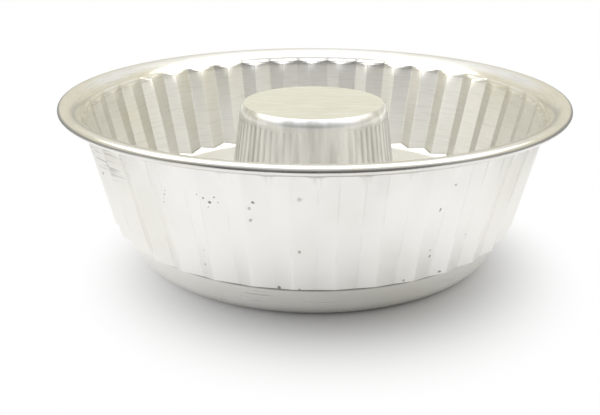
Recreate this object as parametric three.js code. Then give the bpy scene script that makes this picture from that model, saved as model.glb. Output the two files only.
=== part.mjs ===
// Mini fluted tube pan: a fluted side wall with a wired rim, a smooth base pan and a closed centre cone.
// Millimetres, +Z up, with the origin on the table under the middle of the pan.
import * as THREE from 'three';

// Sheet and seats
const SHEET = 0.6; // thickness of the aluminium sheet
const SEAT_GAP = 0.3; // clearance wherever two pieces meet

// Rolled rim and flange
const RIM_RADIUS = 75; // outside of the rolled rim
const PAN_HEIGHT = 47.1; // table to the top of the rim
const WIRE_RADIUS = 0.4; // stiffening wire inside the rolled rim
const CURL_TURN = 270; // degrees that the sheet wraps round the wire
const FLARE_RADIUS = 5.6; // sweep of the flange into the rim, on its upper face

// Fluted wall
const WALL_LEAN = 12; // degrees that the flute ridges lean outwards
const FLUTE_COUNT = 38;
const FLUTE_TURN = 4.4; // degrees from the back of the pan to the nearest ridge
const SHORT_FACE_SHARE = 0.43; // share of the pitch that the shorter face of a flute takes
const FLUTE_DEPTH_TOP = 1.0;
const FLUTE_DEPTH_FOOT = 1.7;
const FLUTE_START = 3.4; // from the top of the rim down to where the valleys begin to sink
const FLUTE_RUN_OUT = 1.3; // height in which they reach their upper depth
const SEAM_HEIGHT = 10.3; // table to the foot of the flute valleys
const FOOT_RISE = 27; // degrees that the wall's cut edge rises from a valley to a ridge

// Base pan
const LIP_HEIGHT = 13; // table to the root of the lip that seats inside the flutes
const LIP_RISE = 25; // degrees that the lip rises outwards
const LIP_SEAT = 0.25; // width of the lip at a flute's valley
const BAND_LEAN = 15.5; // degrees
const BASE_CORNER = 5; // outside radius between the band and the floor
const COLLAR_HEIGHT = 3; // upturned edge of the hole in the floor, inside the cone

// Centre cone
const CONE_HEIGHT = 43.3; // table to the flat top
const CONE_TOP_RADIUS = 21.4;
const SHOULDER_STEP = 1.4; // how far the rounded shoulder stands out past the flat top
const SHOULDER_DROP = 3.2;
const CONE_TAPER = 8.2; // degrees
const CONE_FLUTE_COUNT = 68;
const CONE_FLUTE_DEPTH = 0.4;
const CONE_RUN_OUT = 1.2; // height in which the cone's flutes fade at both ends
const CONE_FLANGE = 2.2; // foot flange that lies on the floor

// Steps in the round stretches of a section
const CURL_STEPS = 9;
const FLARE_STEPS = 4;
const CORNER_STEPS = 4;
const SHOULDER_STEPS = 3;
const WIRE_SIDES = 8;

const radians = THREE.MathUtils.degToRad;
const slope = (degrees) => Math.tan(radians(degrees));

// Sheet thickness measured level through a face that leans by an angle.
const levelStep = (degrees) => SHEET / Math.cos(radians(degrees));

// Points of a section are (radius, height).
const point = (radius, height) => new THREE.Vector2(radius, height);

// Points along an arc of a section, with angles in degrees from the outward direction.
function arc(centre, radius, fromDegrees, toDegrees, steps) {
  const points = [];
  for (let step = 0; step <= steps; step += 1) {
    const angle = radians(fromDegrees + ((toDegrees - fromDegrees) * step) / steps);
    points.push(point(centre.x + radius * Math.cos(angle), centre.y + radius * Math.sin(angle)));
  }
  return points;
}

// Sweep a section round the axis. A fluted piece has one section through its ridges and one through its
// valleys, with matching points, and its columns take them in turn.
function sweep(ridgeSection, valleySection, flutes, turn = 0, shortShare = 0.5) {
  const columns = 2 * flutes;
  const geometry = new THREE.LatheGeometry(ridgeSection, columns);
  const position = geometry.getAttribute('position');
  const pitch = (2 * Math.PI) / flutes;
  for (let column = 0; column <= columns; column += 1) {
    const inValley = column % 2 === 1;
    const section = inValley ? valleySection : ridgeSection;
    const flute = Math.floor((column % columns) / 2);
    const azimuth = radians(turn) + pitch * (flute + (inValley ? shortShare : 0));
    section.forEach((corner, row) => {
      const x = corner.x * Math.sin(azimuth);
      const y = corner.x * Math.cos(azimuth);
      position.setXYZ(column * section.length + row, x, y, corner.y);
    });
  }
  geometry.computeVertexNormals();
  return geometry;
}

// Rolled rim: the wire's centre and the curl around it.
const curlInside = WIRE_RADIUS + SEAT_GAP;
const curlOutside = curlInside + SHEET;
const wireCentre = point(RIM_RADIUS - curlOutside, PAN_HEIGHT - curlOutside);

// Flange: an arc that leaves the wall along its lean and meets the top of the curl level. The flutes begin
// part of the way along it.
const flareCentre = point(wireCentre.x, PAN_HEIGHT - FLARE_RADIUS);
const FLARE_TOP = 90;
const flareEnd = 180 - WALL_LEAN;
const flareUnderside = FLARE_RADIUS - SHEET;
const fluteStartTurn = THREE.MathUtils.radToDeg(Math.asin((FLARE_RADIUS - FLUTE_START) / FLARE_RADIUS));
const flangeEnd = 180 - Math.max(fluteStartTurn, WALL_LEAN);

// Outside face of the wall along a ridge, and how far the valleys lie inside it.
const wallStep = levelStep(WALL_LEAN);
const wallTop = arc(flareCentre, flareUnderside, flareEnd, flareEnd, 1)[0];
const ridgeRadius = (height) => wallTop.x - (wallTop.y - height) * slope(WALL_LEAN);
const valleyTopHeight = PAN_HEIGHT - FLUTE_START - FLUTE_RUN_OUT;
const fluteDeepening = (FLUTE_DEPTH_FOOT - FLUTE_DEPTH_TOP) / (valleyTopHeight - SEAM_HEIGHT);
const fluteDepth = (height) => FLUTE_DEPTH_TOP + (valleyTopHeight - height) * fluteDeepening;

// Base pan's lip stands on the band inside the flutes, clear of their valleys by its seat and the seat gap.
const lipDepth = fluteDepth(LIP_HEIGHT);
const lipClearance = wallStep + SEAT_GAP + LIP_SEAT;
const lipRoot = point(ridgeRadius(LIP_HEIGHT) - lipDepth - lipClearance, LIP_HEIGHT);
const bandStep = levelStep(BAND_LEAN);
const bandRadius = (height) => lipRoot.x - (LIP_HEIGHT - height) * slope(BAND_LEAN);

// Section of the side wall: up the inside, round the curl and down the outside to the cut edge.
function wallSection(inValley) {
  const outside = (height) => point(ridgeRadius(height) - (inValley ? fluteDepth(height) : 0), height);
  const inside = (height) => point(outside(height).x - wallStep, height);
  const footHeight = SEAM_HEIGHT + (inValley ? 0 : FLUTE_DEPTH_FOOT * slope(FOOT_RISE));
  const flangeUpper = arc(flareCentre, FLARE_RADIUS, flangeEnd, FLARE_TOP, FLARE_STEPS);
  const curlOuter = arc(wireCentre, curlOutside, FLARE_TOP, FLARE_TOP - CURL_TURN, CURL_STEPS);
  const curlInner = arc(wireCentre, curlInside, FLARE_TOP - CURL_TURN, FLARE_TOP, CURL_STEPS);
  const flangeUnder = arc(flareCentre, flareUnderside, FLARE_TOP, flangeEnd, FLARE_STEPS);
  // The flange runs into the curl, so their shared points are kept once.
  const section = [inside(footHeight), inside(valleyTopHeight), ...flangeUpper, ...curlOuter.slice(1)];
  section.push(...curlInner, ...flangeUnder.slice(1), outside(valleyTopHeight), outside(footHeight));
  section.push(section[0].clone());
  return section;
}

// Outside face of the cone along a ridge of its fine flutes.
const coneSideTop = point(CONE_TOP_RADIUS + SHOULDER_STEP, CONE_HEIGHT - SHOULDER_DROP);
const coneStep = levelStep(CONE_TAPER);
const coneRadius = (height) => coneSideTop.x + (coneSideTop.y - height) * slope(CONE_TAPER);
const flangeUnderHeight = SHEET + SEAT_GAP;
const flangeTopHeight = flangeUnderHeight + SHEET;

// Edge of the base pan's lip, on its underside, clear of a flute by the seat gap.
function lipEdge(inValley) {
  const reach = LIP_SEAT + (inValley ? 0 : lipDepth);
  const width = reach / (1 - slope(LIP_RISE) * slope(WALL_LEAN));
  return point(lipRoot.x + width, LIP_HEIGHT + width * slope(LIP_RISE));
}

// Section of the base pan: lip, band, floor and the collar that locates the cone from inside.
function baseSection(inValley) {
  const edge = lipEdge(inValley);
  const lift = levelStep(LIP_RISE);
  const innerRoot = (lift * slope(BAND_LEAN) - bandStep) / (1 - slope(LIP_RISE) * slope(BAND_LEAN));
  const cornerCentreHeight = BASE_CORNER;
  const tangentHeight = cornerCentreHeight - BASE_CORNER * Math.sin(radians(BAND_LEAN));
  const floorRadius = bandRadius(tangentHeight) - BASE_CORNER * Math.cos(radians(BAND_LEAN));
  const cornerCentre = point(floorRadius, cornerCentreHeight);
  const FLOOR_SIDE = -90;
  const collarOutside = (height) => coneRadius(height) - CONE_FLUTE_DEPTH - coneStep - SEAT_GAP;
  const collarInside = (height) => collarOutside(height) - coneStep;
  const section = [
    edge,
    lipRoot,
    ...arc(cornerCentre, BASE_CORNER, -BAND_LEAN, FLOOR_SIDE, CORNER_STEPS),
    point(collarInside(0), 0),
    point(collarInside(COLLAR_HEIGHT), COLLAR_HEIGHT),
    point(collarOutside(COLLAR_HEIGHT), COLLAR_HEIGHT),
    point(collarOutside(SHEET), SHEET),
    ...arc(cornerCentre, BASE_CORNER - SHEET, FLOOR_SIDE, -BAND_LEAN, CORNER_STEPS),
    point(lipRoot.x + innerRoot, LIP_HEIGHT + lift + innerRoot * slope(LIP_RISE)),
    point(edge.x + lift * slope(WALL_LEAN), edge.y + lift),
  ];
  section.push(section[0].clone());
  return section;
}

// Section of the cone: flat top, rounded shoulder, fluted side, foot flange, and back up the inside.
function coneSection(inValley) {
  const sink = inValley ? CONE_FLUTE_DEPTH : 0;
  const shoulder = new THREE.QuadraticBezierCurve(
    point(CONE_TOP_RADIUS, CONE_HEIGHT),
    point(coneSideTop.x, CONE_HEIGHT - SHOULDER_STEP),
    coneSideTop,
  );
  const fluteTop = coneSideTop.y - CONE_RUN_OUT;
  const fluteFoot = flangeTopHeight + CONE_RUN_OUT;
  return [
    point(0, CONE_HEIGHT),
    ...shoulder.getPoints(SHOULDER_STEPS),
    point(coneRadius(fluteTop) - sink, fluteTop),
    point(coneRadius(fluteFoot) - sink, fluteFoot),
    point(coneRadius(flangeTopHeight), flangeTopHeight),
    point(coneRadius(flangeTopHeight) + CONE_FLANGE, flangeTopHeight),
    point(coneRadius(flangeTopHeight) + CONE_FLANGE, flangeUnderHeight),
    point(coneRadius(flangeUnderHeight) - coneStep, flangeUnderHeight),
    point(coneRadius(fluteFoot) - coneStep - sink, fluteFoot),
    point(coneRadius(fluteTop) - coneStep - sink, fluteTop),
    point(coneSideTop.x - coneStep, coneSideTop.y),
    point(CONE_TOP_RADIUS - SHEET, CONE_HEIGHT - SHEET),
    point(0, CONE_HEIGHT - SHEET),
  ];
}

// One named mesh for each piece of the pan.
function piece(name, geometry, color, roughness) {
  const material = new THREE.MeshStandardMaterial({ color, roughness, metalness: 1 });
  const mesh = new THREE.Mesh(geometry, material);
  mesh.name = name;
  return mesh;
}

const wallGeometry = sweep(wallSection(false), wallSection(true), FLUTE_COUNT, FLUTE_TURN, SHORT_FACE_SHARE);
const wireGeometry = new THREE.TorusGeometry(wireCentre.x, WIRE_RADIUS, WIRE_SIDES, 2 * FLUTE_COUNT);
wireGeometry.translate(0, 0, wireCentre.y);
const baseGeometry = sweep(baseSection(false), baseSection(true), FLUTE_COUNT, FLUTE_TURN, SHORT_FACE_SHARE);
const coneGeometry = sweep(coneSection(false), coneSection(true), CONE_FLUTE_COUNT);

const pan = new THREE.Group();
pan.add(
  piece('fluted_side_wall', wallGeometry, 0xe6e6e0, 0.28),
  piece('rim_wire', wireGeometry, 0x9a9c9e, 0.4),
  piece('base_pan', baseGeometry, 0xd8d8d0, 0.35),
  piece('centre_cone', coneGeometry, 0xdedfd2, 0.3),
);

export default pan;
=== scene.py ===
"""Dress the fluted tube pan: pressed sheet pieces with their finishes, a white stage and the camera."""

import math

import bmesh
import bpy
from bpy.props import FloatProperty, FloatVectorProperty, IntProperty, PointerProperty
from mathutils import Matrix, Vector


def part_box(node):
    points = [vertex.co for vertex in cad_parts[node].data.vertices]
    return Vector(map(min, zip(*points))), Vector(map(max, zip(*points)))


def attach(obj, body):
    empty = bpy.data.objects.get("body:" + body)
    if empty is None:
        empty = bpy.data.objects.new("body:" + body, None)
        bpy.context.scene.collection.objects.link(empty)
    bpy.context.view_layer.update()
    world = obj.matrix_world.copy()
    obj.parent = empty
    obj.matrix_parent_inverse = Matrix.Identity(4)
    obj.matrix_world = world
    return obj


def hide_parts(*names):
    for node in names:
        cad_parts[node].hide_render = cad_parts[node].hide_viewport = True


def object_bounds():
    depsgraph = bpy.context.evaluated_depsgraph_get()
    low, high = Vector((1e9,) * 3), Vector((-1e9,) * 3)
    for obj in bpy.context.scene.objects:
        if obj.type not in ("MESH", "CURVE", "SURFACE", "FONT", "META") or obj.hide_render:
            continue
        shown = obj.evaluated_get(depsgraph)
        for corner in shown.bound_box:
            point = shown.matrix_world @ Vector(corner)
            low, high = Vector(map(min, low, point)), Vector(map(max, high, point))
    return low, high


bl_info = {
    "name": "Fluted tube pan",
    "version": (1, 0, 0),
    "blender": (4, 5, 0),
    "location": "3D View > Sidebar > Tube pan",
    "description": "Models a small fluted aluminium tube pan and sets it on a white stage",
    "category": "Add Mesh",
}

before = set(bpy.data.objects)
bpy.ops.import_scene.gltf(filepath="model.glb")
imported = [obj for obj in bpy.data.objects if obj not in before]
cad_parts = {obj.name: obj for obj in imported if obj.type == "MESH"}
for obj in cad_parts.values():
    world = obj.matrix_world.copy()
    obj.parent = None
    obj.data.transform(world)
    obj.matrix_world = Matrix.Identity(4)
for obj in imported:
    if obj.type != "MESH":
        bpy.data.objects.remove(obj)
CAD_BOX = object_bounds()
CAD_HIGH = Vector(CAD_BOX[1])

BODY = "root"
IMAGE_WIDTH = 600
FULL_TURN = 2 * math.pi


class WallSizes(bpy.types.PropertyGroup):
    """Sizes of the fluted side wall and its rolled rim"""

    sheet: FloatProperty(
        name="Sheet", description="Thickness of the aluminium sheet", default=0.0006, unit="LENGTH"
    )
    seat_gap: FloatProperty(
        name="Seat gap", description="Clearance where two pieces meet", default=0.0003, unit="LENGTH"
    )
    rim_radius: FloatProperty(
        name="Rim radius", description="Outside of the rolled rim", default=CAD_HIGH.x, unit="LENGTH"
    )
    height: FloatProperty(
        name="Height", description="Table to the top of the rim", default=CAD_HIGH.z, unit="LENGTH"
    )
    bead_radius: FloatProperty(
        name="Bead radius", description="Outside of the sheet rolled round the wire", default=0.0013,
        unit="LENGTH",
    )
    curl_turn: FloatProperty(
        name="Curl", description="How far the sheet wraps round the wire", default=math.radians(270),
        subtype="ANGLE",
    )
    flare_radius: FloatProperty(
        name="Flare", description="Sweep of the flange into the rim", default=0.0056, unit="LENGTH"
    )
    lean: FloatProperty(
        name="Lean", description="How far the flute ridges lean outwards", default=math.radians(12),
        subtype="ANGLE",
    )
    flutes: IntProperty(name="Flutes", description="Number of flutes round the wall", default=38)
    flute_turn: FloatProperty(
        name="Flute turn", description="From the back of the pan to the nearest ridge",
        default=math.radians(4.4), subtype="ANGLE",
    )
    short_face: FloatProperty(
        name="Short face", description="Share of the pitch that a flute's shorter face takes", default=0.43,
        subtype="FACTOR",
    )
    depth_top: FloatProperty(
        name="Upper depth", description="Depth of the flutes at their top", default=0.0010, unit="LENGTH"
    )
    depth_foot: FloatProperty(
        name="Foot depth", description="Depth of the flutes at their foot", default=0.0017, unit="LENGTH"
    )
    flute_start: FloatProperty(
        name="Flute start", description="From the top of the rim down to the first dip", default=0.0034,
        unit="LENGTH",
    )
    run_out: FloatProperty(
        name="Run-out", description="Height in which the flutes reach their upper depth", default=0.0013,
        unit="LENGTH",
    )
    seam_height: FloatProperty(
        name="Seam", description="Table to the foot of the flute valleys", default=0.0103, unit="LENGTH"
    )
    foot_rise: FloatProperty(
        name="Foot rise", description="How steeply the wall's cut edge rises from valley to ridge",
        default=math.radians(27), subtype="ANGLE",
    )


class BaseSizes(bpy.types.PropertyGroup):
    """Sizes of the spun base pan"""

    lip_height: FloatProperty(
        name="Lip height", description="Table to the root of the lip inside the flutes", default=0.0130,
        unit="LENGTH",
    )
    lip_rise: FloatProperty(
        name="Lip rise", description="How steeply the lip rises outwards", default=math.radians(25),
        subtype="ANGLE",
    )
    lip_seat: FloatProperty(
        name="Lip seat", description="Width of the lip at a flute's valley", default=0.00025, unit="LENGTH"
    )
    lip_gap: FloatProperty(
        name="Lip gap", description="Clearance of the pressed lip", default=0.00005, unit="LENGTH"
    )
    band_lean: FloatProperty(
        name="Band lean", description="How far the band leans outwards", default=math.radians(15.5),
        subtype="ANGLE",
    )
    corner: FloatProperty(
        name="Corner", description="Outside radius between band and floor", default=0.005, unit="LENGTH"
    )
    collar_height: FloatProperty(
        name="Collar", description="Upturned edge of the hole under the cone", default=0.003, unit="LENGTH"
    )


class ConeSizes(bpy.types.PropertyGroup):
    """Sizes of the closed centre cone"""

    height: FloatProperty(
        name="Height", description="Table to the flat top", default=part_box("centre_cone")[1].z,
        unit="LENGTH",
    )
    top_radius: FloatProperty(
        name="Top radius", description="Edge of the flat top", default=0.0214, unit="LENGTH"
    )
    shoulder_step: FloatProperty(
        name="Shoulder step", description="How far the shoulder stands out past the top", default=0.0014,
        unit="LENGTH",
    )
    shoulder_drop: FloatProperty(
        name="Shoulder drop", description="Height of the shoulder", default=0.0032, unit="LENGTH"
    )
    taper: FloatProperty(
        name="Taper", description="How far the side leans inwards", default=math.radians(8.2),
        subtype="ANGLE",
    )
    flutes: IntProperty(name="Fine flutes", description="Number of fine flutes", default=68)
    flute_depth: FloatProperty(
        name="Flute depth", description="Depth of the fine flutes", default=0.0004, unit="LENGTH"
    )
    run_out: FloatProperty(
        name="Run-out", description="Height in which the fine flutes fade", default=0.0012, unit="LENGTH"
    )
    flange: FloatProperty(
        name="Flange", description="Foot flange that lies on the floor", default=0.0022, unit="LENGTH"
    )


class FinishColours(bpy.types.PropertyGroup):
    """Colours of the metal and of its marks"""

    bright: FloatVectorProperty(
        name="Bright sheet", description="Clean pressed aluminium", default=(0.955, 0.948, 0.917),
        subtype="COLOR",
    )
    worn: FloatVectorProperty(
        name="Worn sheet", description="Drawn sheet dulled by baking", default=(0.86, 0.85, 0.815),
        subtype="COLOR",
    )
    # Olive also tints the painted shade at the sides of the wall's outside.
    olive: FloatVectorProperty(
        name="Olive tint", description="Thin yellow film on handled sheet", default=(0.82, 0.80, 0.72),
        subtype="COLOR",
    )
    satin: FloatVectorProperty(
        name="Satin", description="Spun or sanded aluminium", default=(0.90, 0.89, 0.83), subtype="COLOR"
    )
    khaki: FloatVectorProperty(
        name="Khaki", description="Film on the sanded flat top", default=(0.76, 0.755, 0.64),
        subtype="COLOR",
    )
    grey: FloatVectorProperty(
        name="Grey", description="Dull streaks on drawn sheet", default=(0.62, 0.62, 0.61), subtype="COLOR"
    )
    silver: FloatVectorProperty(
        name="Silver", description="Clean sheet of the cone's side", default=(0.90, 0.905, 0.91),
        subtype="COLOR",
    )
    # Dark tone of the pits and scuffs; it also paints the shade along the creases, in the cone's grooves
    # and under the seam.
    dark_tone: FloatVectorProperty(
        name="Pits", description="Small dark pits and scuffs", default=(0.25, 0.24, 0.22), subtype="COLOR"
    )
    wire: FloatVectorProperty(
        name="Wire", description="Drawn steel wire", default=(0.55, 0.56, 0.57), subtype="COLOR"
    )


class StageSettings(bpy.types.PropertyGroup):
    """Camera, floor and lights"""

    camera_distance: FloatProperty(
        name="Distance", description="Ground distance from camera to axis", default=0.226, unit="LENGTH"
    )
    camera_height: FloatProperty(
        name="Height", description="Table to camera", default=0.0975, unit="LENGTH"
    )
    camera_pitch: FloatProperty(
        name="Pitch", description="How far the camera looks down", default=math.radians(21.52),
        subtype="ANGLE",
    )
    camera_yaw: FloatProperty(
        name="Yaw", description="How far the camera is turned to the left", default=math.radians(1.05),
        subtype="ANGLE",
    )
    focal_pixels: FloatProperty(
        name="Focal length", description="Focal length in pixels of the photograph", default=751.0
    )
    floor_front: FloatProperty(
        name="Floor front", description="From the axis to the front edge of the white sheet", default=0.16,
        unit="LENGTH",
    )
    floor_back: FloatProperty(
        name="Floor back", description="From the axis to the back edge of the white sheet", default=0.12,
        unit="LENGTH",
    )
    floor_width: FloatProperty(
        name="Floor width", description="Width of the white sheet", default=0.29, unit="LENGTH"
    )


class Link:
    """An output socket in a node tree. Arithmetic on it adds Math nodes."""

    def __init__(self, tree, socket):
        self.tree = tree
        self.socket = socket

    def node(self, kind, settings=None, inputs=None, output=0):
        """Add a node with its settings and the values or links of its sockets, and return one output."""
        made = self.tree.nodes.new(kind)
        for name, value in (settings or {}).items():
            setattr(made, name, value)
        for name, value in (inputs or {}).items():
            if isinstance(value, Link):
                self.tree.links.new(value.socket, made.inputs[name])
            else:
                made.inputs[name].default_value = value
        return Link(self.tree, made.outputs[output] if made.outputs else None)

    def math(self, operation, first, second=0.0):
        return self.node("ShaderNodeMath", {"operation": operation}, {0: first, 1: second})

    def __add__(self, other):
        return self.math("ADD", self, other)

    def __radd__(self, other):
        return self.math("ADD", other, self)

    def __sub__(self, other):
        return self.math("SUBTRACT", self, other)

    def __rsub__(self, other):
        return self.math("SUBTRACT", other, self)

    def __mul__(self, other):
        return self.math("MULTIPLY", self, other)

    def __rmul__(self, other):
        return self.math("MULTIPLY", other, self)

    def __truediv__(self, other):
        return self.math("DIVIDE", self, other)

    def at_most(self, other):
        return self.math("MINIMUM", self, other)

    def at_least(self, other):
        return self.math("MAXIMUM", self, other)

    def size(self):
        """This value without its sign."""
        return self.math("ABSOLUTE", self)

    def along(self, axis):
        """One of these coordinates: X, Y or Z."""
        return self.node("ShaderNodeSeparateXYZ", {}, {"Vector": self}, output=axis)

    def distance_to(self, spot):
        """How far these coordinates lie from a point."""
        ends = {0: self, 1: spot}
        return self.node("ShaderNodeVectorMath", {"operation": "DISTANCE"}, ends, output="Value")

    def step(self, low, high):
        """0 below low, 1 above high and a smooth climb between them."""
        inputs = {"Value": self, "From Min": low, "From Max": high}
        return self.node("ShaderNodeMapRange", {"interpolation_type": "SMOOTHSTEP"}, inputs)

    def tint(self, first, second):
        """Mix two colours by this value."""
        inputs = {0: self, 6: colour(first), 7: colour(second)}
        return self.node("ShaderNodeMix", {"data_type": "RGBA"}, inputs, output=2)

    def noise(self, scale, detail=2.0, roughness=0.5):
        """Noise on these coordinates stretched by a scale for each axis."""
        stretched = self.node("ShaderNodeMapping", {}, {"Vector": self, "Scale": scale})
        inputs = {"Vector": stretched, "Scale": 1.0, "Detail": detail, "Roughness": roughness}
        return self.node("ShaderNodeTexNoise", {}, inputs)


def colour(value):
    """A colour with its alpha, or the link that carries one."""
    return value if isinstance(value, Link) else (*value[:3], 1.0)


ACROSS_THE_MARKS = 0.25


def new_metal(name, drawn=0.0):
    """A metal material: its Principled node and a link to its Object coordinates.

    Level draw marks spread the reflections up and down, the more so the nearer drawn is to 1.
    """
    material = bpy.data.materials.new(name)
    material.use_nodes = True
    tree = material.node_tree
    shader = tree.nodes["Principled BSDF"]
    shader.inputs["Metallic"].default_value = 1.0
    shader.inputs["Anisotropic"].default_value = drawn
    shader.inputs["Anisotropic Rotation"].default_value = ACROSS_THE_MARKS
    place = Link(tree, tree.nodes.new("ShaderNodeTexCoord").outputs["Object"])
    return material, shader, place


def feed(shader, **links):
    """Link values to the shader's sockets, named with underscores for spaces."""
    for name, link in links.items():
        link.tree.links.new(link.socket, shader.inputs[name.replace("_", " ")])


MARK_DEPTH = 0.0002


def emboss(shader, marks, strength):
    """Let fine marks catch the light as relief."""
    relief = {"Height": marks, "Strength": strength, "Distance": MARK_DEPTH}
    feed(shader, Normal=marks.node("ShaderNodeBump", {}, relief))


# Noise behind the marks of each finish. A scale, along X, Y and Z, gives finer marks the larger it is.
# A range gives the noise at which a mark starts to show and at which it shows in full.
INSIDE_MARKS_SCALE = (110.0, 110.0, 2600.0)
INSIDE_FILM_SCALE = (40.0, 40.0, 55.0)
INSIDE_FILM_RANGE = (0.40, 0.75)
INSIDE_STREAK_RANGE = (0.50, 0.62)
INSIDE_STREAK_DEPTH = 0.25

# Heights between which the dull flutes give way to the polished flange.
FLANGE_POLISH = (0.0406, 0.0431)


def drawn_inside_finish(colours):
    """Inside of the wall, flange and rim: bright sheet with level draw marks and a patchy olive film."""
    material, shader, place = new_metal("fluted_wall_inside", drawn=0.8)
    draw_marks = place.noise(INSIDE_MARKS_SCALE, detail=3.0, roughness=0.6)
    patches = place.noise(INSIDE_FILM_SCALE, detail=3.0)
    film = patches.step(*INSIDE_FILM_RANGE).tint(colours.worn, colours.olive)
    streaks = INSIDE_STREAK_DEPTH * draw_marks.step(*INSIDE_STREAK_RANGE)
    on_flange = place.along("Z").step(*FLANGE_POLISH)
    feed(
        shader,
        Base_Color=streaks.tint(film, colours.grey),
        Roughness=0.35 + 0.08 * draw_marks - 0.19 * on_flange,
    )
    emboss(shader, draw_marks, strength=0.08)
    return material


# Pits on the outside of the wall: degrees to the right of the front, height, radius and darkness.
PITS = (
    (-21.4, 0.0338, 0.0005, 1.0),
    (-20.3, 0.0354, 0.0003, 0.8),
    (-22.6, 0.0350, 0.0003, 0.7),
    (-21.8, 0.0326, 0.0003, 0.7),
    (-19.6, 0.0340, 0.0002, 0.7),
    (-24.0, 0.0357, 0.0003, 0.5),
    (-11.9, 0.0352, 0.0006, 1.0),
    (-12.7, 0.0337, 0.0005, 0.5),
    (-12.7, 0.0305, 0.0005, 0.6),
    (-2.5, 0.0367, 0.0008, 0.4),
    (-2.7, 0.0222, 0.0006, 0.7),
    (28.0, 0.0309, 0.0006, 0.9),
    (38.4, 0.0208, 0.0004, 0.7),
    (27.9, 0.0190, 0.0004, 0.8),
    (28.2, 0.0172, 0.0005, 0.9),
    (30.5, 0.0372, 0.0005, 0.5),
    (-7.7, 0.0108, 0.0006, 0.9),
    (-3.0, 0.0108, 0.0005, 0.8),
    (21.9, 0.0114, 0.0005, 0.7),
    (31.9, 0.0116, 0.0005, 0.8),
    (-60.0, 0.0310, 0.0004, 0.9),
    (-32.2, 0.0350, 0.0003, 0.6),
    (-32.5, 0.0339, 0.0003, 0.7),
    (-32.8, 0.0327, 0.0004, 0.6),
    (-33.1, 0.0316, 0.0003, 0.5),
    (-25.2, 0.0195, 0.0003, 0.6),
    (-25.5, 0.0172, 0.0003, 0.5),
    (-25.8, 0.0148, 0.0004, 0.6),
    (-26.0, 0.0122, 0.0003, 0.5),
)

PIT_EDGE_SCALE = (900.0, 900.0, 900.0)
PIT_CORE = 0.4


def pits_on_wall(place, plan):
    """How dark the pits make a place on the outside of the wall, with ragged edges."""
    ragged = place.noise(PIT_EDGE_SCALE, detail=2.0)
    darkest = 0.0
    for turn, height, radius, darkness in PITS:
        spot = plan.wall_spot(math.pi - math.radians(turn), height)
        gap = place.distance_to(spot) + radius * (2.0 * ragged - 1.0)
        dark_tone = darkness * (1.0 - gap.step(PIT_CORE * radius, radius))
        darkest = dark_tone.at_least(darkest)
    return darkest


def flute_share(place, count, start):
    """Turn from the crease at start, in flutes."""
    turn = place.math("ARCTAN2", place.along("X"), place.along("Y"))
    return (turn - start) / (FULL_TURN / count)


# Half the width of a painted shade line along a crease, in flutes, and the share of it that is dark all
# through.
CREASE_LINE = 0.022
CREASE_LINE_CORE = 0.2
CREASE_BREAK_SCALE = (45.0, 45.0, 80.0)
CREASE_BREAK_RANGE = (0.45, 0.60)


def painted_crease_shade(place, wall):
    """Painted shade: thin grey lines along some creases of the flutes."""
    share = flute_share(place, wall.flutes, wall.flute_turn)
    from_ridge = place.math("PINGPONG", share, 0.5)
    from_valley = place.math("PINGPONG", share - wall.short_face, 0.5)
    from_crease = from_ridge.at_most(from_valley)
    line = 1.0 - from_crease.step(CREASE_LINE_CORE * CREASE_LINE, CREASE_LINE)
    return line * place.noise(CREASE_BREAK_SCALE, detail=3.0).step(*CREASE_BREAK_RANGE)


OUTSIDE_MARKS_SCALE = (60.0, 60.0, 1500.0)
OUTSIDE_FILM_SCALE = (35.0, 35.0, 45.0)
OUTSIDE_FILM_RANGE = (0.5, 0.8)
OUTSIDE_SCUFF_SCALE = (90.0, 90.0, 1500.0)
OUTSIDE_SCUFF_RANGE = (0.54, 0.62)

# How strongly film, painted crease shade and scuffs tint the sheet, and what painted shade adds at the
# sides.
OUTSIDE_FILM_DEPTH = 0.4
SIDE_SHADE_FILM_DEPTH = 0.5
CREASE_SHADE_DEPTH = 0.12
SIDE_CREASE_SHADE_DEPTH = 0.45
OUTSIDE_SCUFF_DEPTH = 0.45

# Where painted shade darkens the left and right sides of the pan, as distances from its middle plane.
SIDE_SHADE_RANGE = (0.030, 0.066)

# Where the level scuffs at the left fade out: to the side, in height and towards the back.
SCUFFED_SIDE = (0.044, 0.054)
SCUFFED_HEIGHT = (0.030, 0.035)
SCUFFED_FRONT = (-0.025, -0.010)


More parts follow.
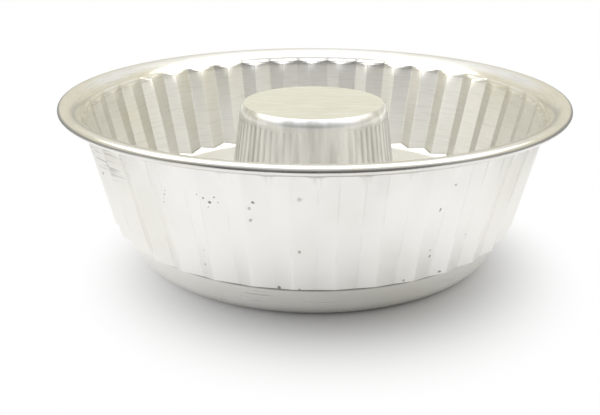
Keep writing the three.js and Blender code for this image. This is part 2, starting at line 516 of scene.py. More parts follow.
def pressed_outside_finish(colours, plan):
    """Outside of the wall: smooth bright sheet, faint clouds, painted shade at creases and sides, small
    dark pits.
    """
    material, shader, place = new_metal("fluted_wall_outside", drawn=0.6)
    draw_marks = place.noise(OUTSIDE_MARKS_SCALE, detail=2.0)
    patches = place.noise(OUTSIDE_FILM_SCALE, detail=3.0)
    sideways = place.along("X")
    # Painted shade: olive darkening towards the left and right sides of the pan, on top of the real film
    # patches.
    shaded_sides = sideways.size().step(*SIDE_SHADE_RANGE)
    film_and_side_shade = patches.step(*OUTSIDE_FILM_RANGE) * OUTSIDE_FILM_DEPTH + SIDE_SHADE_FILM_DEPTH * shaded_sides
    film = film_and_side_shade.tint(colours.bright, colours.olive)
    at_the_left = (0.0 - sideways).step(*SCUFFED_SIDE)
    high_up = place.along("Z").step(*SCUFFED_HEIGHT)
    in_front = 1.0 - place.along("Y").step(*SCUFFED_FRONT)
    scuff_marks = place.noise(OUTSIDE_SCUFF_SCALE, detail=2.0).step(*OUTSIDE_SCUFF_RANGE)
    scuffs = scuff_marks * (at_the_left * high_up * in_front)
    # Painted shade along the creases, stronger towards the sides.
    crease_shade_depth = CREASE_SHADE_DEPTH + SIDE_CREASE_SHADE_DEPTH * shaded_sides
    creases = painted_crease_shade(place, plan.wall) * crease_shade_depth
    marked = (OUTSIDE_SCUFF_DEPTH * scuffs + creases).tint(film, colours.dark_tone)
    base = pits_on_wall(place, plan).tint(marked, colours.dark_tone)
    feed(shader, Base_Color=base, Roughness=0.28 + 0.06 * patches)
    emboss(shader, draw_marks, strength=0.015)
    return material


SPINNING_SCALE = (60.0, 60.0, 2200.0)
BASE_CLOUD_SCALE = (50.0, 50.0, 50.0)
BASE_CLOUD_RANGE = (0.35, 0.7)
BASE_CLOUD_DEPTH = 0.4

# Painted shade under the flutes' foot edge: how far below the seam it starts and is in full, and how dark
# it is.
SEAM_SHADE_START = 0.0018
SEAM_SHADE_FULL = 0.0011
SEAM_SHADE_DEPTH = 0.90

# A scuff on the front of the band: its place, its reach, the spinning lines in it and its darkness.
SCUFF_TURN = math.radians(194)
SCUFF_HEIGHT = 0.0072
SCUFF_REACH = 0.005
SCUFF_CORE = 0.2
SCUFF_RANGE = (0.50, 0.62)
SCUFF_DEPTH = 0.55


def spun_base_finish(colours, plan):
    """Outside of the base: satin spun sheet with level spinning lines, a scuff and painted shade at the
    seam.
    """
    material, shader, place = new_metal("spun_base_aluminium", drawn=0.8)
    lines = place.noise(SPINNING_SCALE, detail=2.0)
    clouds = place.noise(BASE_CLOUD_SCALE, detail=3.0)
    metal = (clouds.step(*BASE_CLOUD_RANGE) * BASE_CLOUD_DEPTH).tint(colours.bright, colours.olive)
    seam = plan.wall.seam_height
    # Painted shade: a dark band just under the wall's foot edge, where the gap's shadow falls.
    seam_shade = place.along("Z").step(seam - SEAM_SHADE_START, seam - SEAM_SHADE_FULL)
    from_scuff = place.distance_to(polar(plan.band_radius(SCUFF_HEIGHT), SCUFF_TURN, SCUFF_HEIGHT))
    near_scuff = 1.0 - from_scuff.step(SCUFF_CORE * SCUFF_REACH, SCUFF_REACH)
    scuff = lines.step(*SCUFF_RANGE) * near_scuff
    base = (SEAM_SHADE_DEPTH * seam_shade).at_least(SCUFF_DEPTH * scuff).tint(metal, colours.dark_tone)
    feed(shader, Base_Color=base, Roughness=0.24 + 0.10 * lines)
    emboss(shader, lines, strength=0.15)
    return material


BASE_INSIDE_SCALE = (60.0, 60.0, 60.0)
BASE_INSIDE_RANGE = (0.35, 0.7)


def base_inside_finish(colours):
    """Inside of the base: matt white metal."""
    material, shader, place = new_metal("base_inside")
    clouds = place.noise(BASE_INSIDE_SCALE, detail=3.0)
    base = clouds.step(*BASE_INSIDE_RANGE).tint(colours.bright, colours.satin)
    feed(shader, Base_Color=base, Roughness=0.50 + 0.10 * clouds)
    return material


CONE_MARKS_SCALE = (30.0, 30.0, 2600.0)
CONE_STREAK_SCALE = (260.0, 260.0, 9.0)
CONE_STREAK_RANGE = (0.25, 0.75)

# Painted shade in the cone's grooves fades between these distances from the middle of a groove, in flutes.
# It shows more towards the sides, between these distances from the pan's middle plane.
GROOVE_SHADE_RANGE = (0.05, 0.30)
GROOVE_SHADE_SIDES = (0.009, 0.022)
GROOVE_SHADE_DEPTH = 0.50


def cone_side_finish(colours, plan):
    """Shoulder and fluted side of the cone: bright sheet with level draw marks and painted shade in the
    grooves.
    """
    material, shader, place = new_metal("cone_side_aluminium", drawn=0.7)
    lines = place.noise(CONE_MARKS_SCALE, detail=2.0)
    streaks = place.noise(CONE_STREAK_SCALE, detail=2.0)
    sheet = streaks.step(*CONE_STREAK_RANGE).tint(colours.grey, colours.silver)
    from_groove = place.math("PINGPONG", flute_share(place, plan.cone.flutes, 0.0), 0.5)
    side_top = plan.cone_side_top[1]
    on_side = 1.0 - place.along("Z").step(side_top - plan.cone.run_out, side_top)
    # Painted shade: the grooves darken, the more so towards the left and right of the pan.
    groove_shade = (1.0 - from_groove.step(*GROOVE_SHADE_RANGE)) * on_side
    side_shade_strength = GROOVE_SHADE_DEPTH * place.along("X").size().step(*GROOVE_SHADE_SIDES)
    base = (groove_shade * side_shade_strength).tint(sheet, colours.dark_tone)
    feed(shader, Base_Color=base, Roughness=0.26 + 0.10 * lines)
    emboss(shader, lines, strength=0.06)
    return material


TOP_STROKE_SCALE = (150.0, 1800.0, 150.0)
TOP_STROKE_RANGE = (0.3, 0.7)


def cone_top_finish(colours):
    """Flat top of the cone: satin sheet with short brush strokes and a khaki film."""
    material, shader, place = new_metal("cone_top_aluminium")
    strokes = place.noise(TOP_STROKE_SCALE, detail=3.0)
    base = strokes.step(*TOP_STROKE_RANGE).tint(colours.satin, colours.khaki)
    feed(shader, Base_Color=base, Roughness=0.34 + 0.10 * strokes)
    emboss(shader, strokes, strength=0.06)
    return material


WIRE_MARKS_SCALE = (300.0, 300.0, 4000.0)
WIRE_MARKS_SHADE = 0.8


def wire_finish(colours):
    """Drawn steel wire with fine marks along its length."""
    material, shader, place = new_metal("rim_wire_steel")
    marks = place.noise(WIRE_MARKS_SCALE, detail=2.0)
    base = marks.tint(colours.wire, [WIRE_MARKS_SHADE * part for part in colours.wire])
    feed(shader, Base_Color=base, Roughness=0.35 + 0.15 * marks)
    return material


def on_circle(centre, radius, turn):
    """The point of a section on a circle, at an angle from the outward direction."""
    return centre[0] + radius * math.cos(turn), centre[1] + radius * math.sin(turn)


def arc(centre, radius, start, end, steps):
    """Points of a section along an arc, with angles from the outward direction."""
    return [on_circle(centre, radius, start + (end - start) * step / steps) for step in range(steps + 1)]


def fillet(before, corner, after, radius, steps):
    """Points of the arc that rounds a corner of a section."""
    corner = Vector(corner)
    inward = (Vector(before) - corner).normalized()
    outward = (Vector(after) - corner).normalized()
    half = inward.angle(outward) / 2
    centre = corner + (inward + outward).normalized() * radius / math.sin(half)
    first = corner + inward * radius / math.tan(half)
    last = corner + outward * radius / math.tan(half)
    start = first - centre
    sweep = start.angle_signed(last - centre)
    points = []
    for step in range(steps + 1):
        turn = -sweep * step / steps
        cosine, sine = math.cos(turn), math.sin(turn)
        rotated = Vector((start.x * cosine - start.y * sine, start.x * sine + start.y * cosine))
        points.append(tuple(centre + rotated))
    return points


def between(first, second, share):
    """The point at a share of the way from one point of a section to another."""
    return tuple(a + (b - a) * share for a, b in zip(first, second))


def ease(share):
    """Smooth climb from 0 to 1."""
    return share * share * (3 - 2 * share)


class PanPlan:
    """Lines that more than one piece follows, worked out from the sizes."""

    def __init__(self, scene):
        self.wall = wall = scene.pan_wall
        self.base = base = scene.pan_base
        self.cone = cone = scene.pan_cone
        self.wire_centre = (wall.rim_radius - wall.bead_radius, wall.height - wall.bead_radius)
        self.flare_centre = (self.wire_centre[0], wall.height - wall.flare_radius)
        self.wall_top = on_circle(self.flare_centre, wall.flare_radius - wall.sheet, math.pi - wall.lean)
        self.valley_top = wall.height - wall.flute_start - wall.run_out
        self.wall_step = wall.sheet / math.cos(wall.lean)
        lip_reach = self.wall_step + wall.seat_gap + base.lip_seat
        self.lip_root = self.ridge_radius(base.lip_height) - self.flute_depth(base.lip_height) - lip_reach
        self.cone_side_top = (cone.top_radius + cone.shoulder_step, cone.height - cone.shoulder_drop)
        self.cone_step = wall.sheet / math.cos(cone.taper)

    def ridge_radius(self, height):
        """Outside face of the wall along a ridge."""
        return self.wall_top[0] - (self.wall_top[1] - height) * math.tan(self.wall.lean)

    def inside_radius(self, height):
        """Upper face of the wall's sheet along a ridge, and up into the flare of the flange."""
        wall = self.wall
        sine = (height - self.flare_centre[1]) / wall.flare_radius
        if sine > math.sin(wall.lean):
            return self.flare_centre[0] - wall.flare_radius * math.sqrt(1 - sine * sine)
        return self.ridge_radius(height) - self.wall_step

    def flute_depth(self, height):
        """How far a valley lies inside the ridges."""
        wall = self.wall
        share = (self.valley_top - height) / (self.valley_top - wall.seam_height)
        return wall.depth_top + (wall.depth_foot - wall.depth_top) * share

    def wall_spot(self, azimuth, height):
        """The point of the wall's outside face at an azimuth and a height."""
        ridge = (self.ridge_radius(height), height)
        valley = (ridge[0] - self.flute_depth(height), height)
        share = (azimuth - self.wall.flute_turn) / flute_pitch(self.wall)
        return zigzag_point(ridge, valley, share, self.wall)

    def band_radius(self, height):
        """Outside face of the base pan's band, from the root of its lip down."""
        return self.lip_root - (self.base.lip_height - height) * math.tan(self.base.band_lean)

    def cone_radius(self, height):
        """Outside face of the cone along a ridge of its fine flutes."""
        return self.cone_side_top[0] + (self.cone_side_top[1] - height) * math.tan(self.cone.taper)


# Points along the sections of the three sheets.
WALL_RINGS = 8
FLARE_STEPS = 14
CURL_STEPS = 20
LIP_RINGS = 3
BAND_RINGS = 8
BASE_CORNER_STEPS = 12
FLOOR_RINGS = 6
TOP_RINGS = 8
SHOULDER_STEPS = 8
CONE_RUN_OUT_RINGS = 4
CONE_SIDE_RINGS = 8
FILLET_STEPS = 4

# Radii of the small fillets, and the share of the lip that its rings take.
LIP_FILLET = 0.0002
COLLAR_FILLET = 0.0009
FLANGE_FILLET = 0.0007
LIP_SHARE = 0.7

# Depth left to the flutes at each ring of their run-out, from its foot to its top.
RUN_OUT_SHARES = (0.72, 0.52, 0.42, 0.38, 0.34, 0.0)
RUN_OUT_RINGS = len(RUN_OUT_SHARES)


def wall_section(plan, in_valley):
    """Upper face of the wall's sheet: flute, flange and curl. Pairs of radius and height."""
    wall = plan.wall
    sink = wall.depth_top if in_valley else 0.0
    foot = wall.seam_height if in_valley else wall.seam_height + wall.depth_foot * math.tan(wall.foot_rise)

    section = []
    for ring in range(WALL_RINGS + 1):
        height = foot + (plan.valley_top - foot) * ring / WALL_RINGS
        depth = plan.flute_depth(height) if in_valley else 0.0
        section.append((plan.inside_radius(height) - depth, height))
    for ring in range(1, RUN_OUT_RINGS + 1):
        height = plan.valley_top + wall.run_out * ring / RUN_OUT_RINGS
        section.append((plan.inside_radius(height) - sink, height))
    flange_rise = wall.height - wall.flute_start - plan.flare_centre[1]
    flange_start = math.pi - math.asin(flange_rise / wall.flare_radius)
    section += arc(plan.flare_centre, wall.flare_radius, flange_start, math.pi / 2, FLARE_STEPS)[1:]
    curl_end = math.pi / 2 - wall.curl_turn
    section += arc(plan.wire_centre, wall.bead_radius, math.pi / 2, curl_end, CURL_STEPS)[1:]
    return section


def wall_limits(wall):
    """How deep a flute may be at each point of the wall's section: it runs out under the round rim."""
    fluted = [wall.flare_radius] * (WALL_RINGS + 1)
    run_out = [wall.depth_top * share for share in RUN_OUT_SHARES]
    rim = [0.0] * (FLARE_STEPS + CURL_STEPS)
    return fluted + run_out + rim


def base_section(plan, in_valley):
    """Lower face of the base pan's sheet: lip, band, corner, floor and collar."""
    base = plan.base
    tangent_height = base.corner - base.corner * math.sin(base.band_lean)
    corner_radius = plan.band_radius(tangent_height) - base.corner * math.cos(base.band_lean)
    corner_centre = (corner_radius, base.corner)
    corner = arc(corner_centre, base.corner, -base.band_lean, -math.pi / 2, BASE_CORNER_STEPS)
    root = (plan.lip_root, base.lip_height)
    rise = math.tan(base.lip_rise)
    depth = plan.flute_depth(base.lip_height) if in_valley else 0.0
    seat = plan.inside_radius(base.lip_height) - depth - base.lip_gap - plan.lip_root
    lip_width = seat / (1 - rise * math.tan(plan.wall.lean))
    lip_edge = (plan.lip_root + lip_width, base.lip_height + lip_width * rise)

    def collar(height):
        reach = plan.cone.flute_depth + 2 * plan.cone_step + plan.wall.seat_gap
        return plan.cone_radius(height) - reach, height

    section = [between(lip_edge, root, LIP_SHARE * ring / LIP_RINGS) for ring in range(LIP_RINGS)]
    section += fillet(section[-1], root, corner[0], min(LIP_FILLET, lip_width), FILLET_STEPS)
    band_top = section[-1]
    section += [between(band_top, corner[0], ring / BAND_RINGS) for ring in range(1, BAND_RINGS)]
    section += corner
    section += [between(corner[-1], collar(0), ring / FLOOR_RINGS) for ring in range(1, FLOOR_RINGS)]
    section += fillet(corner[-1], collar(0), collar(base.collar_height), COLLAR_FILLET, FILLET_STEPS)
    section.append(collar(base.collar_height))
    return section


def base_limits(plan):
    """How deep a flute may be at each point of the base pan's section: only the lip follows the flutes."""
    rings = len(base_section(plan, in_valley=False))
    return [plan.base.corner] * LIP_RINGS + [0.0] * (rings - LIP_RINGS)


def cone_section(plan, in_valley):
    """Outer face of the cone's sheet: flat top, shoulder, fluted side and foot flange."""
    cone = plan.cone
    sink = cone.flute_depth if in_valley else 0.0
    flange_top = 2 * plan.wall.sheet + plan.wall.seat_gap
    flute_top = plan.cone_side_top[1] - cone.run_out
    flute_foot = flange_top + cone.run_out
    top_edge = (cone.top_radius, cone.height)
    crown = (plan.cone_side_top[0], cone.height - cone.shoulder_step)

    section = [between((0.0, cone.height), top_edge, ring / TOP_RINGS) for ring in range(TOP_RINGS + 1)]
    for step in range(1, SHOULDER_STEPS + 1):
        share = step / SHOULDER_STEPS
        over = between(top_edge, crown, share)
        down = between(crown, plan.cone_side_top, share)
        section.append(between(over, down, share))
    for ring in range(1, CONE_RUN_OUT_RINGS + 1):
        share = ring / CONE_RUN_OUT_RINGS
        height = plan.cone_side_top[1] - cone.run_out * share
        section.append((plan.cone_radius(height) - sink * ease(share), height))
    for ring in range(1, CONE_SIDE_RINGS + 1):
        height = flute_top + (flute_foot - flute_top) * ring / CONE_SIDE_RINGS
        section.append((plan.cone_radius(height) - sink, height))
    foot = (plan.cone_radius(flange_top), flange_top)
    rim = (foot[0] + cone.flange, flange_top)
    section += fillet((section[-1][0] + sink, flute_foot), foot, rim, FLANGE_FILLET, FILLET_STEPS)
    section.append(rim)
    return section


# Columns of one flute: beside each crease in shares of the pitch, and across its short face in parts of it.
CREASE_SHARES = (-0.05, -0.018, -0.009, 0.0, 0.009, 0.018, 0.05)
SHORT_FACE_PARTS = (0.3, 0.5, 0.7)

# A crease is rounded by the mean of points this far to each side, in shares of the pitch.
CREASE_HALF_WIDTH = 0.018
AVERAGE_PLACES = (-1.0, -0.5, 0.0, 0.5, 1.0)


def flute_pitch(wall):
    """Turn from one ridge of the wall to the next."""
    return FULL_TURN / wall.flutes


def flute_shares(short_face):
    """Places of one flute's columns, from the middle of a long face to the next, in shares of the pitch."""
    long_middle = (short_face + 1) / 2
    quarter = (1 - short_face) / 4
    ridge = [-quarter] + list(CREASE_SHARES)
    valley = [short_face + share for share in CREASE_SHARES] + [short_face + quarter]
    across = [short_face * part for part in SHORT_FACE_PARTS]
    return [long_middle - 1] + ridge + across + valley + [long_middle]


def polar(radius, azimuth, height):
    """A point at an azimuth that runs clockwise from the back, seen from above."""
    return Vector((radius * math.sin(azimuth), radius * math.cos(azimuth), height))


def zigzag_point(ridge, valley, share, wall):
    """A point on the flat faces between the creases of a flute."""
    whole = math.floor(share)
    ridge_share = whole if share - whole < wall.short_face else whole + 1
    valley_share = whole + wall.short_face
    on_ridge = polar(ridge[0], wall.flute_turn + flute_pitch(wall) * ridge_share, ridge[1])
    on_valley = polar(valley[0], wall.flute_turn + flute_pitch(wall) * valley_share, valley[1])
    return on_ridge.lerp(on_valley, (share - ridge_share) / (valley_share - ridge_share))


def pressed_point(ridge, valley, limit, share, wall):
    """A point of a fluted sheet: flat faces with rounded creases, no deeper than a limit."""
    spread = [share + CREASE_HALF_WIDTH * place for place in AVERAGE_PLACES]
    faces = [zigzag_point(ridge, valley, place, wall) for place in spread]
    creased = sum(faces, Vector()) / len(faces)
    unpressed = polar(ridge[0], wall.flute_turn + flute_pitch(wall) * share, ridge[1])
    depth = unpressed.xy.length - creased.xy.length
    return creased if depth <= limit else unpressed.lerp(creased, limit / depth)


AXIS = {"center": (0, 0, 0), "axis": (0, 0, 1)}
START_SIZE = 0.001
WELD_DISTANCE = 0.000005
SMOOTH_ANGLE = math.radians(40)


def start_section(name, section, azimuth):
    """Start a piece as one vertex and extrude it along a section. Leaves it in edit mode, all selected."""
    bpy.ops.object.select_all(action="DESELECT")
    points = [polar(radius, azimuth, height) for radius, height in section]
    bpy.ops.mesh.primitive_plane_add(size=START_SIZE, location=(0, 0, 0), enter_editmode=True)
    bpy.ops.mesh.merge(type="CENTER")
    bpy.ops.transform.translate(value=points[0])
    for before, after in zip(points, points[1:]):
        bpy.ops.mesh.extrude_region_move(TRANSFORM_OT_translate={"value": after - before})
    bpy.ops.mesh.select_all(action="SELECT")
    piece = bpy.context.object
    piece.name = piece.data.name = name
    return piece


def spin_round(count):
    """Copy the finished sector round the axis and join the copies into one sheet."""
    bpy.ops.mesh.select_all(action="SELECT")
    rest = FULL_TURN * (count - 1) / count
    bpy.ops.mesh.spin(steps=count - 1, dupli=True, angle=rest, **AXIS)
    bpy.ops.mesh.select_all(action="SELECT")
    bpy.ops.mesh.remove_doubles(threshold=WELD_DISTANCE)


def face_sheet(piece, upwards):
    """Turn the sheet's faces one way: the side that looks up on the whole, or the other."""
    bpy.ops.mesh.normals_make_consistent(inside=False)
    mesh = bmesh.from_edit_mesh(piece.data)
    lift = sum(face.normal.z * face.calc_area() for face in mesh.faces)
    if (lift > 0) != upwards:
        bpy.ops.mesh.flip_normals()


def thicken(piece, sheet, *materials):
    """Give the sheet its thickness and its materials, on its faces and behind them, and smooth shading."""
    bpy.ops.object.mode_set(mode="OBJECT")
    for material in materials:
        piece.data.materials.append(material)
    bpy.ops.object.modifier_add(type="SOLIDIFY")
    solidify = piece.modifiers[-1]
    solidify.thickness = sheet
    solidify.offset = -1.0
    solidify.use_even_offset = True
    solidify.material_offset = len(materials) - 1
    bpy.ops.object.modifier_apply(modifier=solidify.name)
    bpy.ops.object.shade_smooth_by_angle(angle=SMOOTH_ANGLE)


def settle(piece, node):
    """Let a finished piece stand for its CAD node and move with the pan."""
    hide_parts(node)
    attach(piece, BODY)


def nearest_ring(section, point):
    """Number of the section's point nearest to a vertex."""
    radius = math.hypot(point.x, point.y)
    gaps = [abs(ring[0] - radius) + abs(ring[1] - point.z) for ring in section]
    return gaps.index(min(gaps))


# Rounding may put a vertex this share of the pitch before the first column.
ROUNDING_SHARE = 0.1


def press_flute(piece, ridge, valley, limits, wall):
    """Move the vertices of a spun sector to the faces and creases of one flute."""
    mesh = bmesh.from_edit_mesh(piece.data)
    pitch = flute_pitch(wall)
    shares = flute_shares(wall.short_face)
    columns = len(shares) - 1
    first = wall.flute_turn + pitch * shares[0]
    slack = ROUNDING_SHARE * pitch
    for vertex in mesh.verts:
        ring = nearest_ring(ridge, vertex.co)
        turn = (math.atan2(vertex.co.x, vertex.co.y) - first + slack) % FULL_TURN - slack
        column = round(turn / pitch * columns)
        vertex.co = pressed_point(ridge[ring], valley[ring], limits[ring], shares[column], wall)
    bmesh.update_edit_mesh(piece.data)


def fluted_sheet(name, wall, ridge, valley, limits):
    """Extrude a section, spin it through one flute, press that flute and copy it round the axis."""
    pitch = flute_pitch(wall)
    shares = flute_shares(wall.short_face)
    piece = start_section(name, ridge, wall.flute_turn + pitch * shares[0])
    bpy.ops.mesh.spin(steps=len(shares) - 1, angle=pitch, **AXIS)
    press_flute(piece, ridge, valley, limits, wall)
    spin_round(wall.flutes)
    return piece


class PAN_OT_side_wall(bpy.types.Operator):
    """Press the fluted side wall with its flange and rolled rim"""

    bl_idname = "pan.side_wall"
    bl_label = "Fluted side wall"

    def execute(self, context):
        plan = PanPlan(context.scene)
        wall = plan.wall
        ridge = wall_section(plan, in_valley=False)
        valley = wall_section(plan, in_valley=True)
        piece = fluted_sheet("fluted_wall_sheet", wall, ridge, valley, wall_limits(wall))
        face_sheet(piece, upwards=True)
        colours = context.scene.pan_colours
        thicken(piece, wall.sheet, drawn_inside_finish(colours), pressed_outside_finish(colours, plan))
        settle(piece, "fluted_side_wall")
        return {"FINISHED"}


class PAN_OT_base(bpy.types.Operator):
    """Spin the smooth base with its lip, band, floor and collar"""

    bl_idname = "pan.base"
    bl_label = "Base"

    def execute(self, context):
        plan = PanPlan(context.scene)
        ridge = base_section(plan, in_valley=False)
        valley = base_section(plan, in_valley=True)
        piece = fluted_sheet("spun_base_sheet", plan.wall, ridge, valley, base_limits(plan))
        face_sheet(piece, upwards=False)
        colours = context.scene.pan_colours
        thicken(piece, plan.wall.sheet, spun_base_finish(colours, plan), base_inside_finish(colours))
        settle(piece, "base_pan")
        return {"FINISHED"}


CONE_COLUMNS = 6

# Faces of the cone this near to its highest plane belong to the flat top.
TOP_DEPTH = 0.00002


class PAN_OT_cone(bpy.types.Operator):
    """Press the closed centre cone with its fine flutes and foot flange"""

    bl_idname = "pan.cone"
    bl_label = "Centre cone"

    def execute(self, context):
        plan = PanPlan(context.scene)
        cone = plan.cone
        pitch = FULL_TURN / cone.flutes
        ridge = cone_section(plan, in_valley=False)
        valley = cone_section(plan, in_valley=True)
        piece = start_section("centre_cone_sheet", ridge, 0.0)
        bpy.ops.mesh.spin(steps=CONE_COLUMNS, angle=pitch, **AXIS)
        mesh = bmesh.from_edit_mesh(piece.data)
        for vertex in mesh.verts:
            ring = nearest_ring(ridge, vertex.co)
            azimuth = math.atan2(vertex.co.x, vertex.co.y)
            share = 1.0 - abs(math.sin(math.pi * azimuth / pitch))
            radius, height = between(ridge[ring], valley[ring], share)
            vertex.co = polar(radius, azimuth, height)
        bmesh.update_edit_mesh(piece.data)
        spin_round(cone.flutes)
        face_sheet(piece, upwards=True)
        colours = context.scene.pan_colours
        thicken(piece, plan.wall.sheet, cone_side_finish(colours, plan))
        piece.data.materials.append(cone_top_finish(colours))
        for face in piece.data.polygons:
            face.material_index = int(face.center.z > cone.height - TOP_DEPTH)
        settle(piece, "centre_cone")
        return {"FINISHED"}


class PAN_OT_rim_wire(bpy.types.Operator):
    """Give the stiffening wire inside the rolled rim its finish"""

    bl_idname = "pan.rim_wire"
    bl_label = "Rim wire"

    def execute(self, context):
        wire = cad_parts["rim_wire"]
        wire.data.materials.clear()
        wire.data.materials.append(wire_finish(context.scene.pan_colours))
        return {"FINISHED"}


# Shades of the studio that the metal mirrors: overhead, round the walls and below the edge of the sheet.
CEILING = (0.90, 0.90, 0.88)
CEILING_HIGH = (1.20, 1.20, 1.18)
CEILING_SIDE = (0.84, 0.79, 0.62)
CEILING_FRONT = (0.76, 0.76, 0.75)
WALLS = (0.36, 0.355, 0.34)
UPPER_WALLS = (0.79, 0.755, 0.63)
UPPER_FRONT = (0.68, 0.68, 0.67)
WALLS_SIDE = (0.40, 0.39, 0.36)
WALL_BEHIND_CAMERA = (0.20, 0.20, 0.20)
TABLE_LIT = (0.32, 0.32, 0.31)
TABLE_DARK = (0.05, 0.05, 0.05)
WHITE = (1.0, 1.0, 1.0)

# Where one shade gives way to the next, by how far a direction points forward, to a side or upward.
BACK_WALL_FORWARD = (0.0, 0.8)
CAMERA_WALL_FORWARD = (-0.8, -0.4)
TABLE_FORWARD = (-0.8, -0.3)
CEILING_FORWARD = (-0.7, 0.1)
UPPER_FORWARD = (-0.5, 0.3)
CEILING_SIDEWAYS = (0.35, 0.85)
CEILING_UPWARD = (0.55, 0.90)
TABLE_UPWARD = (-0.04, 0.0)

# The same up the walls, whose shades lie higher the nearer they are to the camera.
UPPER_WALL_RISE = (0.0, 0.22)
CEILING_RISE = (0.28, 0.55)
RISE_TO_CAMERA = 0.45

# The pan's shadow leans towards the camera and fades out between these distances from its middle.
SHADOW_CENTRE = (0.005, -0.02, 0.0)
SHADOW_FADE = (0.031, 0.076)
FLOOR_PALE = (0.58, 0.58, 0.58)

# Softboxes: place, width, height and brightness.
SOFTBOXES = {
    "overhead_softbox": ((0.0, 0.0, 0.80), 0.55, 0.55, 2.2),
    "left_softbox": ((-0.51, 0.0, 0.61), 0.60, 0.50, 1.45),
    "right_softbox": ((0.51, 0.0, 0.61), 0.60, 0.50, 1.10),
}

SENSOR_WIDTH = 36.0
CLIP_START = 0.01


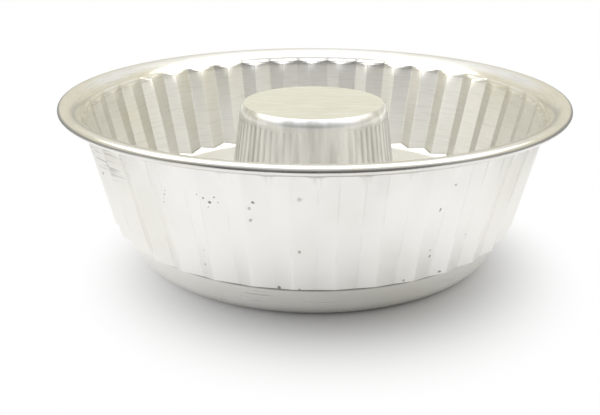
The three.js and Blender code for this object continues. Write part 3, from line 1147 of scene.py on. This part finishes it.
class PAN_OT_stage(bpy.types.Operator):
    """Set up the white floor, the soft light and the camera"""

    bl_idname = "pan.stage"
    bl_label = "Stage"

    def execute(self, context):
        stage = context.scene.pan_stage
        context.scene.view_settings.view_transform = "Standard"
        self.lay_floor(stage)
        self.light_world(context.scene)
        self.hang_lamps()
        self.place_camera(context.scene, stage)
        return {"FINISHED"}

    def lay_floor(self, stage):
        bpy.ops.object.select_all(action="DESELECT")
        bpy.ops.mesh.primitive_plane_add(size=1.0)
        bpy.ops.transform.resize(value=(stage.floor_width, stage.floor_front + stage.floor_back, 1.0))
        bpy.ops.transform.translate(value=(0, (stage.floor_back - stage.floor_front) / 2, 0))
        bpy.ops.object.transform_apply(location=True, rotation=False, scale=True)
        floor = bpy.context.object
        floor.name = "floor"
        material = bpy.data.materials.new("white_floor")
        material.use_nodes = True
        tree = material.node_tree
        tree.nodes.clear()
        place = Link(tree, tree.nodes.new("ShaderNodeTexCoord").outputs["Object"])
        camera = place.node("ShaderNodeLightPath", output="Is Camera Ray")
        glossy = place.node("ShaderNodeLightPath", output="Is Glossy Ray")
        matte = place.node("ShaderNodeBsdfDiffuse", {}, {"Color": colour(FLOOR_PALE)})
        white = place.node("ShaderNodeEmission", {}, {"Strength": camera.at_least(glossy)})
        fade = place.distance_to(SHADOW_CENTRE).step(*SHADOW_FADE)
        surface = place.node("ShaderNodeMixShader", {}, {0: fade, 1: matte, 2: white})
        surface.node("ShaderNodeOutputMaterial", {}, {"Surface": surface})
        floor.data.materials.append(material)

    def light_world(self, scene):
        world = bpy.data.worlds.new("studio")
        scene.world = world
        world.use_nodes = True
        tree = world.node_tree
        tree.nodes.clear()
        direction = Link(tree, tree.nodes.new("ShaderNodeTexCoord").outputs["Generated"])
        forward = direction.along("Y")
        upward = direction.along("Z")
        rise = upward + RISE_TO_CAMERA * forward.at_most(0.0)

        around = forward.step(*BACK_WALL_FORWARD).tint(WALLS_SIDE, WALLS)
        lower_walls = forward.step(*CAMERA_WALL_FORWARD).tint(WALL_BEHIND_CAMERA, around)
        upper_walls = forward.step(*UPPER_FORWARD).tint(UPPER_FRONT, UPPER_WALLS)
        walls = rise.step(*UPPER_WALL_RISE).tint(lower_walls, upper_walls)

        overhead = upward.step(*CEILING_UPWARD).tint(CEILING, CEILING_HIGH)
        to_the_side = direction.along("X").size().step(*CEILING_SIDEWAYS)
        behind = to_the_side.tint(overhead, CEILING_SIDE)
        ceiling = forward.step(*CEILING_FORWARD).tint(CEILING_FRONT, behind)

        table = forward.step(*TABLE_FORWARD).tint(TABLE_DARK, TABLE_LIT)
        above = rise.step(*CEILING_RISE).tint(walls, ceiling)
        room = upward.step(*TABLE_UPWARD).tint(table, above)
        camera = direction.node("ShaderNodeLightPath", output="Is Camera Ray")
        shade = camera.tint(room, WHITE)
        sky = direction.node("ShaderNodeBackground", {}, {"Color": shade, "Strength": 1.0})
        sky.node("ShaderNodeOutputWorld", {}, {"Surface": sky})

    def hang_lamps(self):
        for name, (place, width, height, brightness) in SOFTBOXES.items():
            data = bpy.data.lights.new(name, "AREA")
            data.shape = "RECTANGLE"
            data.size = width
            data.size_y = height
            data.energy = brightness * math.pi * width * height
            lamp = bpy.data.objects.new(name, data)
            lamp.location = place
            lamp.rotation_euler = (-lamp.location).to_track_quat("-Z", "Y").to_euler()
            bpy.context.collection.objects.link(lamp)

    def place_camera(self, scene, stage):
        data = bpy.data.cameras.new("camera")
        data.sensor_width = SENSOR_WIDTH
        data.lens = stage.focal_pixels / IMAGE_WIDTH * data.sensor_width
        data.clip_start = CLIP_START
        camera = bpy.data.objects.new("camera", data)
        camera.location = (0.0, -stage.camera_distance, stage.camera_height)
        camera.rotation_euler = (math.pi / 2 - stage.camera_pitch, 0.0, stage.camera_yaw)
        bpy.context.collection.objects.link(camera)
        scene.camera = camera


class PAN_PT_sidebar(bpy.types.Panel):
    """Pieces of the pan and the sizes they follow"""

    bl_idname = "PAN_PT_sidebar"
    bl_label = "Tube pan"
    bl_space_type = "VIEW_3D"
    bl_region_type = "UI"
    bl_category = "Tube pan"

    def draw(self, context):
        layout = self.layout
        for operator in OPERATORS:
            layout.operator(operator.bl_idname)
        for name in SETTINGS:
            group = getattr(context.scene, name)
            for key in group.bl_rna.properties.keys():
                if key not in ("rna_type", "name"):
                    layout.prop(group, key)


SETTINGS = {
    "pan_wall": WallSizes,
    "pan_base": BaseSizes,
    "pan_cone": ConeSizes,
    "pan_colours": FinishColours,
    "pan_stage": StageSettings,
}
OPERATORS = (PAN_OT_side_wall, PAN_OT_base, PAN_OT_cone, PAN_OT_rim_wire, PAN_OT_stage)


def register():
    for kind in (*SETTINGS.values(), *OPERATORS, PAN_PT_sidebar):
        bpy.utils.register_class(kind)
    for name, group in SETTINGS.items():
        setattr(bpy.types.Scene, name, PointerProperty(type=group))


def unregister():
    for name in SETTINGS:
        delattr(bpy.types.Scene, name)
    for kind in reversed((*SETTINGS.values(), *OPERATORS, PAN_PT_sidebar)):
        bpy.utils.unregister_class(kind)


def main():
    register()
    bpy.ops.pan.side_wall()
    bpy.ops.pan.base()
    bpy.ops.pan.cone()
    bpy.ops.pan.rim_wire()
    bpy.ops.pan.stage()


if __name__ == "__main__":
    main()
